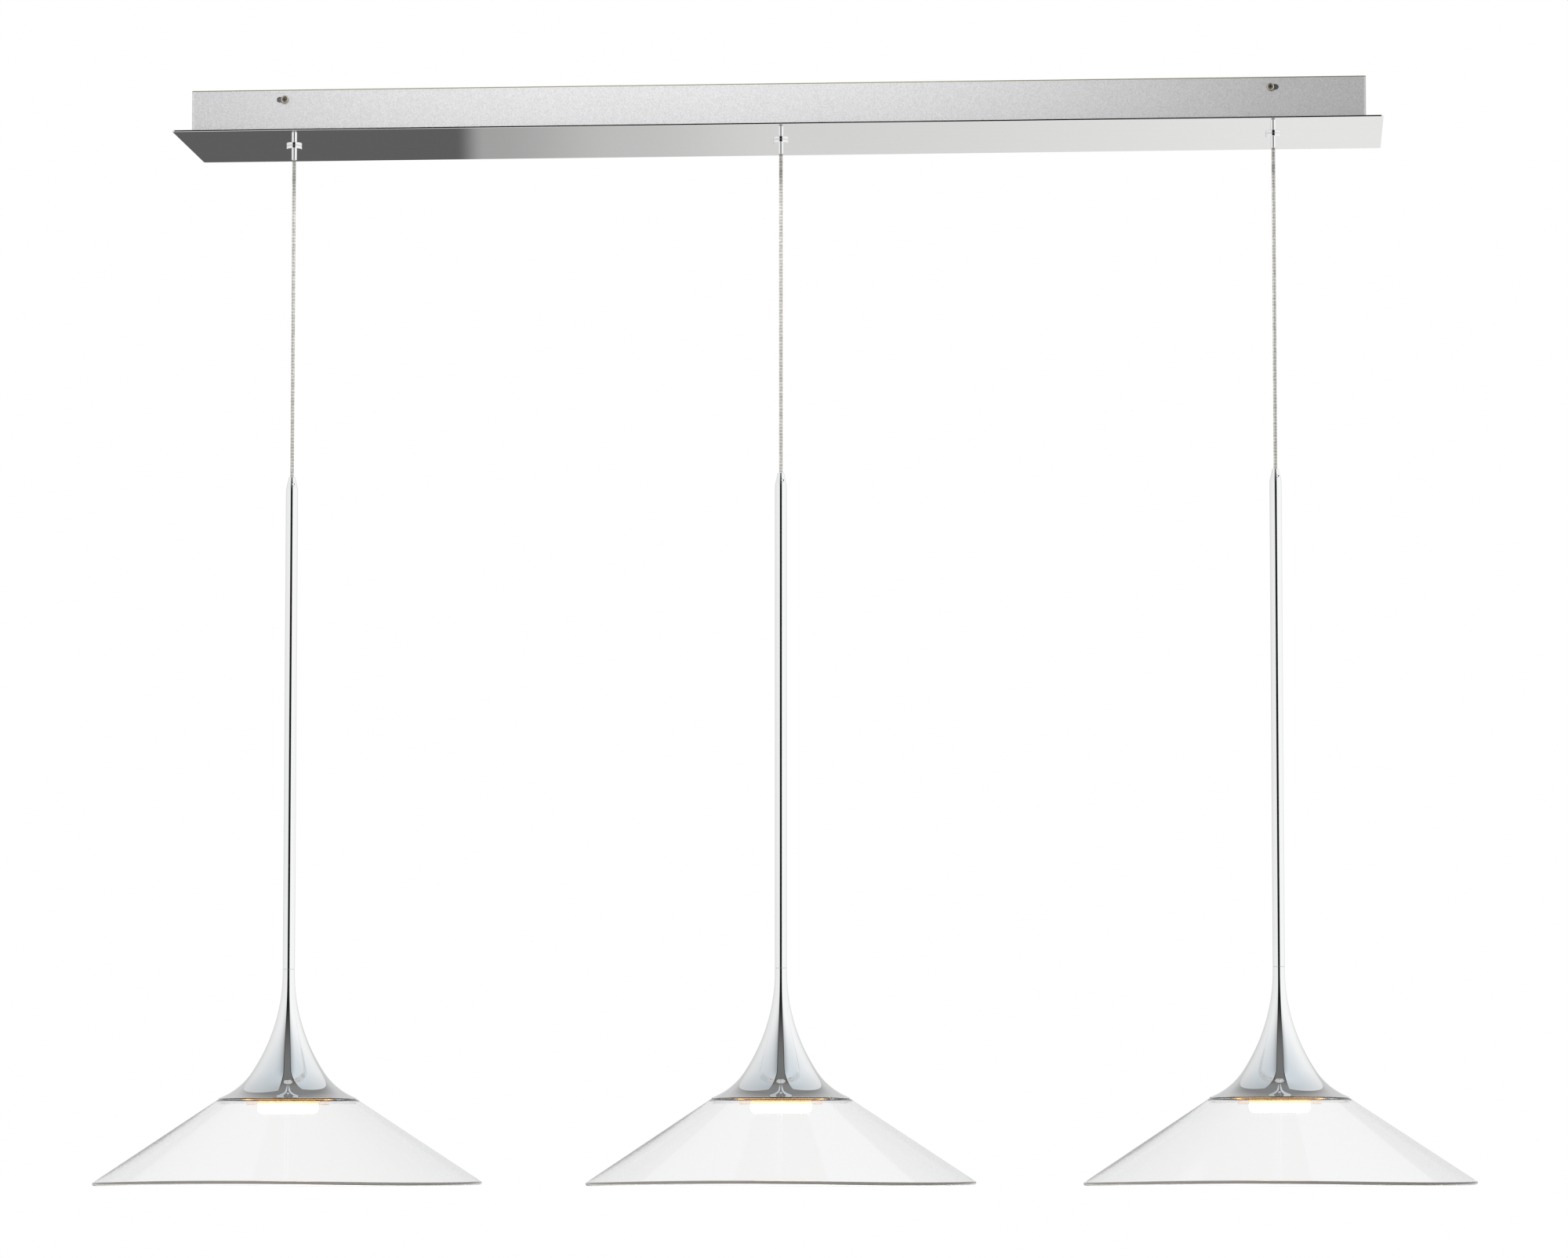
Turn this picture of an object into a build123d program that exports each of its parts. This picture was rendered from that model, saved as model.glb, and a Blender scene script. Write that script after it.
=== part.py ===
from build123d import *

import math
import os

# Linear pendant light: a ceiling canopy carries three glass-shaded lamps on clamped cables.
# Millimetres, +Z up. The ceiling is z = 0, X runs along the canopy, and -Y faces the room.

# Canopy: a folded sheet pan against the ceiling and the polished plate below it
PLATE_LENGTH = 1000.0
PLATE_DEPTH = 160.0
PLATE_THICK = 1.5
PLATE_CORNER_R = 2.0
PLATE_EDGE_R = 0.4
PLATE_OVERHANG = 14.0
PAN_HEIGHT = 35.0
PAN_WALL = 1.0
PAN_BEND_R = 1.0

# Ceiling bracket: an H-shaped strap with a folded tab behind each side screw
BRACKET_THICK = 1.5
BRACKET_BEND_R = 1.0
STRAP_WIDTH = 40.0
ARM_WIDTH = 24.0
TAB_BELOW_SCREW = 6.0
TAB_GAP = 0.4
BOX_SCREW_SPACING = 88.9
BOX_SLOT_WIDTH = 5.0
BOX_SLOT_LENGTH = 22.0
ANCHOR_SPACING = 700.0
ANCHOR_HOLE_R = 2.75
SUPPLY_HOLE_R = 11.0

# Side screws that draw the pan to the bracket, each in a slot with some travel
SIDE_SCREW_INSET = 92.0
SIDE_SCREW_DROP = 8.4
SCREW_R = 1.75
SCREW_HEAD_R = 3.2
SCREW_HEAD_HEIGHT = 2.2
SCREW_HEAD_ROUND = 1.3
SCREW_PAST_TAB = 3.0
CROSS_SPAN = 3.4
CROSS_WIDTH = 0.8
CROSS_DEPTH = 1.1
SLOT_CLEAR = 0.55
SLOT_TRAVEL = 4.5

# Welded studs of the plate and their nuts
STUD_R = 2.0
STUD_CLEAR = 0.25
STUD_PAST_NUT = 1.5
STUD_END_INSET = 30.0
STUD_SIDE_INSET = 15.0
NUT_FLATS = 7.0
NUT_HEIGHT = 3.2
THREAD_CLEAR = 0.05

# Lamp driver on the floor of the pan
DRIVER_LENGTH = 150.0
DRIVER_DEPTH = 46.0
DRIVER_HEIGHT = 22.0
DRIVER_ROUND = 3.0
DRIVER_STEP_LENGTH = 18.0
DRIVER_STEP_HEIGHT = 9.0
EAR_LENGTH = 14.0
EAR_DEPTH = 18.0
EAR_THICK = 2.0

# Pendants along the canopy, the outer two this far from the plate's ends
PENDANT_INSET = 90.0
PENDANT_NAMES = ("left", "middle", "right")

# Cable and the ball gripper that holds it
CABLE_R = 1.5
CABLE_FREE = 268.0
CABLE_CLEAR = 0.15
FLANGE_R = 6.4
FLANGE_THICK = 2.6
FLANGE_ROUND = 0.5
BARREL_R = 4.0
BARREL_HOLE_CLEAR = 0.2
BARREL_PAST_NUT = 5.5
BARREL_TOP_WALL = 1.2
GRIPPER_NUT_FLATS = 13.0
GRIPPER_NUT_HEIGHT = 4.0
PLUNGER_R = 2.2
PLUNGER_OUT = 9.2
PLUNGER_ROUND = 0.2
PLUNGER_TRAVEL = 2.5
SLIDE_CLEAR = 0.06
GUIDE_LENGTH = 3.0
COLLAR_LENGTH = 1.0
TAPER_SLOPE = 0.11
TAPER_LENGTH = 5.0
BALL_R = 0.7
BALL_CLEAR = 0.02
BALL_ABOVE_GUIDE = 3.0
BALL_COUNT = 3
PLUNGER_PAST_BALL = 0.9
SPRING_WIRE_R = 0.25
SPRING_TURNS = 4
STOP_R = 2.7
STOP_LENGTH = 7.0
TAIL_PAST_STOP = 0.5

# Two bending places at the top of the free cable
BEND_DROP = 1.2
BEND_END_GAP = 0.15
NECK_LENGTH = 12.0
NECK_GAP = 0.2

# Stem: tapered cap with its clamping screw, tube, and hollow threaded nipple
STEM_R = 5.0
STEM_WALL = 1.0
STEM_LENGTH = 399.0
CAP_TAPER = 12.0
CAP_TOP_R = 2.7
CAP_TOP_ROUND = 0.4
CAP_SHOULDER = 1.8
CAP_SHOULDER_ROUND = 15.0
CAP_SPIGOT = 15.0
CAP_SCREW_R = 1.4
CAP_SCREW_DROP = 6.3
CAP_SCREW_ANGLE = 30.0
CAP_SCREW_PROUD = 0.6
CAP_SOCKET_FLATS = 1.3
CAP_SOCKET_DEPTH = 0.9
NIPPLE_IN_STEM = 14.0
FIT_CLEAR = 0.05

# Trumpet bell: a straight neck, a long sweep, then a flare whose lip lies flatter than the glass
BELL_NECK = 2.9
BELL_SWEEP_R = 148.5
BELL_SWEEP_ANGLE = 33.7
BELL_FLARE_R = 56.0
BELL_LIP_ANGLE = 66.0
BELL_R = 57.3
BELL_WALL = 1.0

# Glass shade: a cone with an inward flange at the top
CONE_ANGLE = 56.5
SHADE_RIM_R = 161.5
SHADE_WALL = 3.0
SHADE_LEDGE = 0.5
SHADE_HOLE_R = 31.0
SHADE_HOLE_CLEAR = 0.5
SHADE_RIM_ROUND = 1.4
SHADE_TOP_ROUND = 1.0
SHADE_INNER_ROUND = 3.0
GASKET_THICK = 1.0
GASKET_WIDTH = 4.0
GASKET_INSET = 0.4

# Lamp: heat sink, board, opal diffuser and the clear bezel that clamps the glass
SINK_CLEAR = 0.2
SINK_RECESS = 1.0
SINK_THICK = 8.0
SINK_BOSS_WALL = 4.0
SINK_BOSS_HEIGHT = 12.0
FIN_THICK = 1.6
FIN_HEIGHT = 7.0
FIN_PAIRS = 6
SOCKET_WALL = 3.0
BOARD_THICK = 1.6
BOARD_CLEAR = 0.3
EMITTER_R = 9.0
EMITTER_THICK = 1.0
BEZEL_R = 34.5
BEZEL_THICK = 2.5
BEZEL_WALL = 2.5
BEZEL_ROUND = 0.8
BEZEL_TOP_GAP = 0.3
DIFFUSER_R = 25.0
DIFFUSER_WALL = 2.0
DIFFUSER_DROP = 7.0
DIFFUSER_ROUND = 4.0
DIFFUSER_RIM = 1.5
DIFFUSER_CLEAR = 0.2

# Canopy levels and outlines
pan_length = PLATE_LENGTH - 2 * PLATE_OVERHANG
pan_depth = PLATE_DEPTH - 2 * PLATE_OVERHANG
pan_floor = PAN_WALL - PAN_HEIGHT
plate_top = -PAN_HEIGHT
plate_under = plate_top - PLATE_THICK
side_screw_x = PLATE_LENGTH / 2 - SIDE_SCREW_INSET
pendant_spacing = (PLATE_LENGTH - 2 * PENDANT_INSET) / (len(PENDANT_NAMES) - 1)
driver_x = pendant_spacing / 2
driver_stud_x = DRIVER_LENGTH / 2 + EAR_LENGTH / 2

# Gripper levels, from the underside of its flange upwards
flange_under = plate_under - FLANGE_THICK
barrel_top = pan_floor + GRIPPER_NUT_HEIGHT + BARREL_PAST_NUT
chamber_top = barrel_top - BARREL_TOP_WALL
guide_top = flange_under + GUIDE_LENGTH
taper_top = guide_top + TAPER_LENGTH
ball_z = guide_top + BALL_ABOVE_GUIDE
ball_orbit = CABLE_R + BALL_CLEAR + BALL_R
taper_at_ball = ball_orbit + (BALL_R + BALL_CLEAR) * math.hypot(1, TAPER_SLOPE)
taper_low_r = taper_at_ball - TAPER_SLOPE * BALL_ABOVE_GUIDE
taper_high_r = taper_low_r + TAPER_SLOPE * TAPER_LENGTH
cable_hole_r = CABLE_R + CABLE_CLEAR
plunger_mouth = flange_under - PLUNGER_OUT
plunger_top = ball_z + BALL_R + PLUNGER_PAST_BALL

# Cable and stem levels, downwards
bend_front_z = plunger_mouth - BEND_DROP
bend_side_z = bend_front_z - NECK_LENGTH
cap_top = plunger_mouth - CABLE_FREE
stem_top = cap_top - CAP_TAPER
bell_top = stem_top - STEM_LENGTH
nipple_r = STEM_R - max(STEM_WALL, BELL_WALL) - FIT_CLEAR

# Bell: centres of the sweep and the flare, in radius and height, and the level of its edge
sweep_turn = math.radians(BELL_SWEEP_ANGLE)
lip_turn = math.radians(BELL_LIP_ANGLE)
sweep_centre = (STEM_R + BELL_SWEEP_R, bell_top - BELL_NECK)
flare_shift = BELL_SWEEP_R - BELL_FLARE_R
flare_centre = (
    sweep_centre[0] - flare_shift * math.cos(sweep_turn),
    sweep_centre[1] - flare_shift * math.sin(sweep_turn),
)
flare_end_r = flare_centre[0] - BELL_FLARE_R * math.cos(lip_turn)
flare_end_z = flare_centre[1] - BELL_FLARE_R * math.sin(lip_turn)
bell_edge = flare_end_z - (BELL_R - flare_end_r) / math.tan(lip_turn)

# Lamp and shade levels and radii, downwards from the edge of the bell
cone_turn = math.radians(CONE_ANGLE)
sink_under = bell_edge + SINK_RECESS
sink_top = sink_under + SINK_THICK
glass_top = bell_edge - GASKET_THICK
glass_under = glass_top - SHADE_WALL
collar_r = SHADE_HOLE_R - SHADE_HOLE_CLEAR
collar_bore_r = collar_r - BEZEL_WALL
socket_r = collar_bore_r - THREAD_CLEAR
socket_bore_r = socket_r - SOCKET_WALL
socket_under = glass_under + DIFFUSER_RIM + FIT_CLEAR

# How a shape stands on the level that it is placed at
ABOVE = (Align.CENTER, Align.CENTER, Align.MIN)
BELOW = (Align.CENTER, Align.CENTER, Align.MAX)


def turned(*outline):
    """A solid turned about the vertical axis from corners of (radius, height, rounding)."""
    points = [(corner[0], 0, corner[1]) for corner in outline]
    rounds = [corner[2] if len(corner) > 2 else 0 for corner in outline]
    return revolve(make_face(FilletPolyline(*points, radius=rounds, close=True)), Axis.Z)


def hex_nut(flats, height, thread_r):
    """A plain hexagon nut standing on its face."""
    nut = extrude(RegularPolygon(flats / 2, 6, major_radius=False), height)
    return nut - Cylinder(thread_r + THREAD_CLEAR, height, align=ABOVE)


def plate_stud_places():
    """Where the plate's welded studs come up through the floor of the pan."""
    end = pan_length / 2 - STUD_END_INSET
    side = pan_depth / 2 - STUD_SIDE_INSET
    return [(x, y) for x in (-end, 0, end) for y in (-side, side)]


def driver_stud_places():
    """The two studs that hold the driver by its ears."""
    return [(driver_x - driver_stud_x, 0), (driver_x + driver_stud_x, 0)]


def pendant_places():
    """Each pendant's name and its place along the canopy."""
    middle = (len(PENDANT_NAMES) - 1) / 2
    return [(name, (i - middle) * pendant_spacing) for i, name in enumerate(PENDANT_NAMES)]


def ceiling_bracket():
    """Stamped strap with two cross arms whose ends fold down behind the pan's long walls."""
    reach = pan_depth / 2 - PAN_WALL - TAB_GAP
    drop = SIDE_SCREW_DROP + TAB_BELOW_SCREW
    outside = Box(ARM_WIDTH, 2 * reach, drop, align=BELOW)
    inside = Box(ARM_WIDTH, 2 * (reach - BRACKET_THICK), drop - BRACKET_THICK, align=BELOW)
    bend_edges = outside.edges().filter_by(Axis.X).group_by(Axis.Z)[-1]
    outside = fillet(bend_edges, BRACKET_BEND_R + BRACKET_THICK)
    bend_edges = inside.edges().filter_by(Axis.X).group_by(Axis.Z)[-1]
    inside = fillet(bend_edges, BRACKET_BEND_R)
    arm = outside - Pos(0, 0, -BRACKET_THICK) * inside

    bracket = Box(2 * side_screw_x, STRAP_WIDTH, BRACKET_THICK, align=BELOW)
    tab_hole = Rot(90, 0, 0) * Cylinder(SCREW_R + THREAD_CLEAR, pan_depth)
    anchor_hole = Cylinder(ANCHOR_HOLE_R, 2 * BRACKET_THICK)
    box_slot = extrude(SlotOverall(BOX_SLOT_LENGTH, BOX_SLOT_WIDTH), BRACKET_THICK, both=True)
    for end in (-1, 1):
        bracket += Pos(end * side_screw_x, 0, 0) * arm
        bracket -= Pos(end * side_screw_x, 0, -SIDE_SCREW_DROP) * tab_hole
        bracket -= Pos(end * ANCHOR_SPACING / 2, 0, 0) * anchor_hole
        bracket -= Pos(end * BOX_SCREW_SPACING / 2, 0, 0) * box_slot
    return bracket - Cylinder(SUPPLY_HOLE_R, 2 * BRACKET_THICK)


def canopy_pan():
    """Folded sheet pan, open to the ceiling, with slots for the side screws."""
    bend = PAN_BEND_R + PAN_WALL
    outside = extrude(RectangleRounded(pan_length, pan_depth, bend), -PAN_HEIGHT)
    outside = fillet(outside.edges().group_by(Axis.Z)[0], bend)
    hollow = RectangleRounded(pan_length - 2 * PAN_WALL, pan_depth - 2 * PAN_WALL, PAN_BEND_R)
    inside = extrude(hollow, pan_floor)
    inside = fillet(inside.edges().group_by(Axis.Z)[0], PAN_BEND_R)
    pan = outside - inside

    slot_shape = SlotCenterToCenter(SLOT_TRAVEL, 2 * (SCREW_R + SLOT_CLEAR))
    for end in (-1, 1):
        slot_x = end * (side_screw_x + SLOT_TRAVEL / 2)
        slot = extrude(Plane.XZ * Pos(slot_x, -SIDE_SCREW_DROP) * slot_shape, pan_depth, both=True)
        pan -= slot
    for _, x in pendant_places():
        pan -= Pos(x, 0, plate_top) * Cylinder(BARREL_R + BARREL_HOLE_CLEAR, 3 * PAN_WALL)
    for x, y in plate_stud_places() + driver_stud_places():
        pan -= Pos(x, y, plate_top) * Cylinder(STUD_R + STUD_CLEAR, 3 * PAN_WALL)
    return pan


def canopy_plate():
    """Polished plate with the studs welded to its upper side."""
    plate = extrude(RectangleRounded(PLATE_LENGTH, PLATE_DEPTH, PLATE_CORNER_R), -PLATE_THICK)
    levels = plate.edges().group_by(Axis.Z)
    plate = Pos(0, 0, plate_top) * fillet(levels[0] + levels[-1], PLATE_EDGE_R)
    for _, x in pendant_places():
        plate -= Pos(x, 0, plate_top) * Cylinder(BARREL_R + BARREL_HOLE_CLEAR, 3 * PLATE_THICK)
    stud_height = PAN_WALL + NUT_HEIGHT + STUD_PAST_NUT
    for x, y in plate_stud_places():
        plate += Pos(x, y, plate_top) * Cylinder(STUD_R, stud_height, align=ABOVE)
    for x, y in driver_stud_places():
        plate += Pos(x, y, plate_top) * Cylinder(STUD_R, stud_height + EAR_THICK, align=ABOVE)
    return plate


def side_screws():
    """Round-headed cross-recess screws, through the pan's slots into the bracket's tabs."""
    head = Cylinder(SCREW_HEAD_R, SCREW_HEAD_HEIGHT, align=ABOVE)
    head = fillet(head.edges().group_by(Axis.Z)[-1], SCREW_HEAD_ROUND)
    for span in ((CROSS_SPAN, CROSS_WIDTH), (CROSS_WIDTH, CROSS_SPAN)):
        head -= Pos(0, 0, SCREW_HEAD_HEIGHT) * Box(*span, CROSS_DEPTH, align=BELOW)
    length = PAN_WALL + TAB_GAP + BRACKET_THICK + SCREW_PAST_TAB
    screw = head + Cylinder(SCREW_R, length, align=BELOW)
    face = pan_depth / 2
    places = [(end * side_screw_x, side) for end in (-1, 1) for side in (-1, 1)]
    return [Pos(x, side * face, -SIDE_SCREW_DROP) * Rot(-side * 90, 0, 0) * screw for x, side in places]


def canopy_nuts():
    """Nuts on the plate's studs, those at the driver standing on its ears."""
    nut = hex_nut(NUT_FLATS, NUT_HEIGHT, STUD_R)
    on_pan = [Pos(x, y, pan_floor) * nut for x, y in plate_stud_places()]
    on_ears = [Pos(x, y, pan_floor + EAR_THICK) * nut for x, y in driver_stud_places()]
    return on_pan + on_ears


def led_driver():
    """Moulded driver case with stepped wiring ends and a fixing ear at each end."""
    case = Box(DRIVER_LENGTH, DRIVER_DEPTH, DRIVER_HEIGHT, align=ABOVE)
    step = Box(DRIVER_STEP_LENGTH, DRIVER_DEPTH, DRIVER_STEP_HEIGHT, align=BELOW)
    for end in (-1, 1):
        step_x = end * (DRIVER_LENGTH - DRIVER_STEP_LENGTH) / 2
        case -= Pos(step_x, 0, DRIVER_HEIGHT) * step
    case = fillet(case.edges().filter_by(Axis.Z), DRIVER_ROUND)
    case += Box(DRIVER_LENGTH + 2 * EAR_LENGTH, EAR_DEPTH, EAR_THICK, align=ABOVE)
    for end in (-1, 1):
        case -= Pos(end * driver_stud_x, 0, 0) * Cylinder(STUD_R + STUD_CLEAR, 3 * EAR_THICK)
    return Pos(driver_x, 0, pan_floor) * case


def gripper_body():
    """Flanged barrel: a guide for the plunger, the balls' taper, and the spring's chamber."""
    return turned(
        (PLUNGER_R + SLIDE_CLEAR, flange_under),
        (FLANGE_R, flange_under, FLANGE_ROUND),
        (FLANGE_R, plate_under, FLANGE_ROUND),
        (BARREL_R, plate_under),
        (BARREL_R, barrel_top),
        (cable_hole_r, barrel_top),
        (cable_hole_r, chamber_top),
        (taper_high_r, chamber_top),
        (taper_high_r, taper_top),
        (taper_low_r, guide_top),
        (PLUNGER_R + SLIDE_CLEAR, guide_top),
    )


def gripper_plunger():
    """Release sleeve: pressed up, it lifts the balls out of the taper."""
    collar_low = guide_top + SLIDE_CLEAR
    collar_r = taper_low_r - SLIDE_CLEAR
    sleeve = turned(
        (cable_hole_r, plunger_mouth, PLUNGER_ROUND),
        (PLUNGER_R, plunger_mouth, PLUNGER_ROUND),
        (PLUNGER_R, collar_low),
        (collar_r, collar_low),
        (collar_r, collar_low + COLLAR_LENGTH),
        (PLUNGER_R, collar_low + COLLAR_LENGTH),
        (PLUNGER_R, plunger_top),
        (cable_hole_r, plunger_top),
    )
    window = Rot(0, 90, 0) * Cylinder(BALL_R + BALL_CLEAR, 2 * PLUNGER_R, align=ABOVE)
    for turn in ball_turns():
        sleeve -= Pos(0, 0, ball_z) * Rot(0, 0, turn) * window
    return sleeve


def ball_turns():
    """Angles of the clutch balls round the cable."""
    return [360 * i / BALL_COUNT for i in range(BALL_COUNT)]


def clutch_balls():
    """Balls in the sleeve's windows, wedged between the cable and the taper."""
    ball = Pos(ball_orbit, 0, ball_z) * Sphere(BALL_R)
    return [Rot(0, 0, turn) * ball for turn in ball_turns()]


def gripper_spring():
    """Coil spring that presses the sleeve down, wound in quarter turns."""
    coil_r = PLUNGER_R - SPRING_WIRE_R
    low = plunger_top + SPRING_WIRE_R + SLIDE_CLEAR
    high = chamber_top - SPRING_WIRE_R - SLIDE_CLEAR
    steps = 8 * SPRING_TURNS

    def on_coil(step):
        angle = 2 * math.pi * SPRING_TURNS * step / steps
        height = low + (high - low) * step / steps
        return (coil_r * math.cos(angle), coil_r * math.sin(angle), height)

    arcs = [ThreePointArc(*[on_coil(i + k) for k in range(3)]) for i in range(0, steps, 2)]
    wire = Wire(arcs)
    section = Plane(origin=wire @ 0, z_dir=wire % 0) * Circle(SPRING_WIRE_R)
    print("spring gap between turns", round((high - low) / SPRING_TURNS - 2 * SPRING_WIRE_R, 2))
    return sweep(section, path=wire)


def cable_tail():
    """The cable inside the gripper, up to the stop that keeps it from being drawn out."""
    low = bend_front_z + CABLE_R + BEND_END_GAP
    high = barrel_top + STOP_LENGTH + TAIL_PAST_STOP
    return Pos(0, 0, low) * Cylinder(CABLE_R, high - low, align=ABOVE)


def cable_stop():
    """Crimped sleeve on the end of the cable, resting on the gripper."""
    stop = Cylinder(STOP_R, STOP_LENGTH, align=ABOVE)
    stop -= Cylinder(CABLE_R + FIT_CLEAR, STOP_LENGTH, align=ABOVE)
    return Pos(0, 0, barrel_top) * stop


def cable_neck():
    """The short length of cable between its two bending places, round at the top."""
    length = NECK_LENGTH - NECK_GAP / 2
    neck = Cylinder(CABLE_R, length, align=BELOW) + Sphere(CABLE_R)
    return Pos(0, 0, bend_front_z) * neck


def cable():
    """The cable from its lower bending place, through cap, stem and nipple, to the lamp board."""
    high = bend_side_z - NECK_GAP / 2
    return Pos(0, 0, high) * Cylinder(CABLE_R, high - sink_under, align=BELOW)


def cap_screw_place():
    """The axis of the clamping screw, from the cable outwards."""
    return Pos(0, 0, cap_top - CAP_SCREW_DROP) * Rot(0, 0, CAP_SCREW_ANGLE) * Rot(90, 0, 0)


def stem_cap():
    """Tapered cap on the stem, with a spigot inside the tube and a cross hole for its screw."""
    spigot_r = STEM_R - STEM_WALL - FIT_CLEAR
    cap = turned(
        (cable_hole_r, cap_top),
        (CAP_TOP_R, cap_top, CAP_TOP_ROUND),
        (STEM_R, stem_top + CAP_SHOULDER, CAP_SHOULDER_ROUND),
        (STEM_R, stem_top),
        (spigot_r, stem_top),
        (spigot_r, stem_top - CAP_SPIGOT),
        (cable_hole_r, stem_top - CAP_SPIGOT),
    )
    return cap - cap_screw_place() * Cylinder(CAP_SCREW_R + THREAD_CLEAR, 2 * STEM_R, align=ABOVE)


def cap_screw():
    """Socket screw that clamps the cable in the cap."""
    cap_r = CAP_TOP_R + (STEM_R - CAP_TOP_R) * CAP_SCREW_DROP / (CAP_TAPER - CAP_SHOULDER)
    inner = CABLE_R + FIT_CLEAR
    length = cap_r + CAP_SCREW_PROUD - inner
    socket = extrude(RegularPolygon(CAP_SOCKET_FLATS / 2, 6, major_radius=False), CAP_SOCKET_DEPTH)
    screw = Cylinder(CAP_SCREW_R, length, align=ABOVE) - Pos(0, 0, length - CAP_SOCKET_DEPTH) * socket
    return cap_screw_place() * Pos(0, 0, inner) * screw


def stem_tube():
    """Straight tube from the cap to the bell."""
    tube = Cylinder(STEM_R, STEM_LENGTH, align=BELOW)
    tube -= Cylinder(STEM_R - STEM_WALL, STEM_LENGTH, align=BELOW)
    return Pos(0, 0, stem_top) * tube


def stem_nipple():
    """Hollow threaded rod that draws the heat sink and the bell up to the stem."""
    high = bell_top + NIPPLE_IN_STEM
    rod = Cylinder(nipple_r, high - sink_top, align=ABOVE)
    rod -= Cylinder(cable_hole_r, high - sink_top, align=ABOVE)
    return Pos(0, 0, sink_top) * rod


def bell_form(inset):
    """The trumpet form of the bell, drawn in by an even distance."""
    sweep_r = BELL_SWEEP_R + inset
    flare_r = BELL_FLARE_R + inset

    def on_arc(centre, radius, turn):
        return (centre[0] - radius * math.cos(turn), 0, centre[1] - radius * math.sin(turn))

    def arc(centre, radius, start, end):
        turns = (start, (start + end) / 2, end)
        return ThreePointArc(*[on_arc(centre, radius, turn) for turn in turns])

    sweep_arc = arc(sweep_centre, sweep_r, 0, sweep_turn)
    flare_arc = arc(flare_centre, flare_r, sweep_turn, lip_turn)
    edge = (BELL_R - inset / math.cos(lip_turn), 0, bell_edge)
    straight = Polyline(
        flare_arc @ 1, edge, (0, 0, bell_edge), (0, 0, bell_top), (STEM_R - inset, 0, bell_top), sweep_arc @ 0
    )
    return revolve(make_face([sweep_arc, flare_arc, straight]), Axis.Z)


def bell():
    """Spun trumpet shell."""
    return bell_form(0) - bell_form(BELL_WALL)


def heat_sink():
    """Finned disc seated in the bell, with a boss for the nipple and a socket for the bezel."""
    sink = Pos(0, 0, sink_under) * Cylinder(BELL_R, SINK_THICK, align=ABOVE)
    for i in range(FIN_PAIRS):
        fin = Box(2 * BELL_R, FIN_THICK, FIN_HEIGHT, align=ABOVE)
        sink += Pos(0, 0, sink_top) * Rot(0, 0, 180 * i / FIN_PAIRS) * fin
    boss_r = nipple_r + SINK_BOSS_WALL
    sink += Pos(0, 0, sink_top) * Cylinder(boss_r, SINK_BOSS_HEIGHT, align=ABOVE)
    sink = sink & bell_form(BELL_WALL + SINK_CLEAR)
    sink -= Pos(0, 0, sink_top) * Cylinder(nipple_r + THREAD_CLEAR, SINK_BOSS_HEIGHT, align=ABOVE)
    sink -= Pos(0, 0, sink_under) * Cylinder(cable_hole_r, SINK_THICK, align=ABOVE)
    socket = turned(
        (socket_bore_r, sink_under),
        (socket_bore_r, socket_under),
        (socket_r, socket_under),
        (socket_r, sink_under),
    )
    return sink + socket


def led_board():
    """Round lamp board under the heat sink, with its emitter in the middle."""
    board = Cylinder(socket_bore_r - BOARD_CLEAR, BOARD_THICK, align=BELOW)
    board += Cylinder(EMITTER_R, BOARD_THICK + EMITTER_THICK, align=BELOW)
    return Pos(0, 0, sink_under) * board


def bezel_ring():
    """Threaded ring: its collar passes through the glass, and its flange carries the glass."""
    under = glass_under - BEZEL_THICK
    opening_r = DIFFUSER_R + DIFFUSER_CLEAR
    return turned(
        (collar_bore_r, sink_under - BEZEL_TOP_GAP),
        (collar_bore_r, glass_under),
        (opening_r, glass_under),
        (opening_r, under),
        (BEZEL_R, under, BEZEL_ROUND),
        (BEZEL_R, glass_under),
        (collar_r, glass_under),
        (collar_r, sink_under - BEZEL_TOP_GAP),
    )


def diffuser():
    """Opal cup that shows below the bezel, held by its rim."""
    under = glass_under - BEZEL_THICK - DIFFUSER_DROP
    rim_top = glass_under + DIFFUSER_RIM
    rim_r = collar_bore_r - DIFFUSER_CLEAR
    inner_r = DIFFUSER_R - DIFFUSER_WALL
    return turned(
        (0, under),
        (0, under + DIFFUSER_WALL),
        (inner_r, under + DIFFUSER_WALL, DIFFUSER_ROUND - DIFFUSER_WALL),
        (inner_r, rim_top),
        (rim_r, rim_top),
        (rim_r, glass_under),
        (DIFFUSER_R, glass_under),
        (DIFFUSER_R, under, DIFFUSER_ROUND),
    )


def shade_gasket():
    """Soft ring between the edge of the bell and the glass."""
    outer = BELL_R - GASKET_INSET
    ring = Cylinder(outer, GASKET_THICK, align=ABOVE)
    return Pos(0, 0, glass_top) * (ring - Cylinder(outer - GASKET_WIDTH, GASKET_THICK, align=ABOVE))


def glass_shade():
    """Clear cone with a polished rim and an inward flange round the lamp."""
    top_r = BELL_R + SHADE_LEDGE
    rim_z = glass_top - (SHADE_RIM_R - top_r) / math.tan(cone_turn)
    wall_r = SHADE_WALL * math.cos(cone_turn)
    wall_z = SHADE_WALL * math.sin(cone_turn)
    inner_r = top_r + SHADE_WALL * math.tan(cone_turn) - SHADE_WALL / math.cos(cone_turn)
    return turned(
        (SHADE_HOLE_R, glass_top),
        (top_r, glass_top, SHADE_TOP_ROUND),
        (SHADE_RIM_R, rim_z, SHADE_RIM_ROUND),
        (SHADE_RIM_R - wall_r, rim_z - wall_z, SHADE_RIM_ROUND),
        (inner_r, glass_under, SHADE_INNER_ROUND),
        (SHADE_HOLE_R, glass_under),
    )


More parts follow.
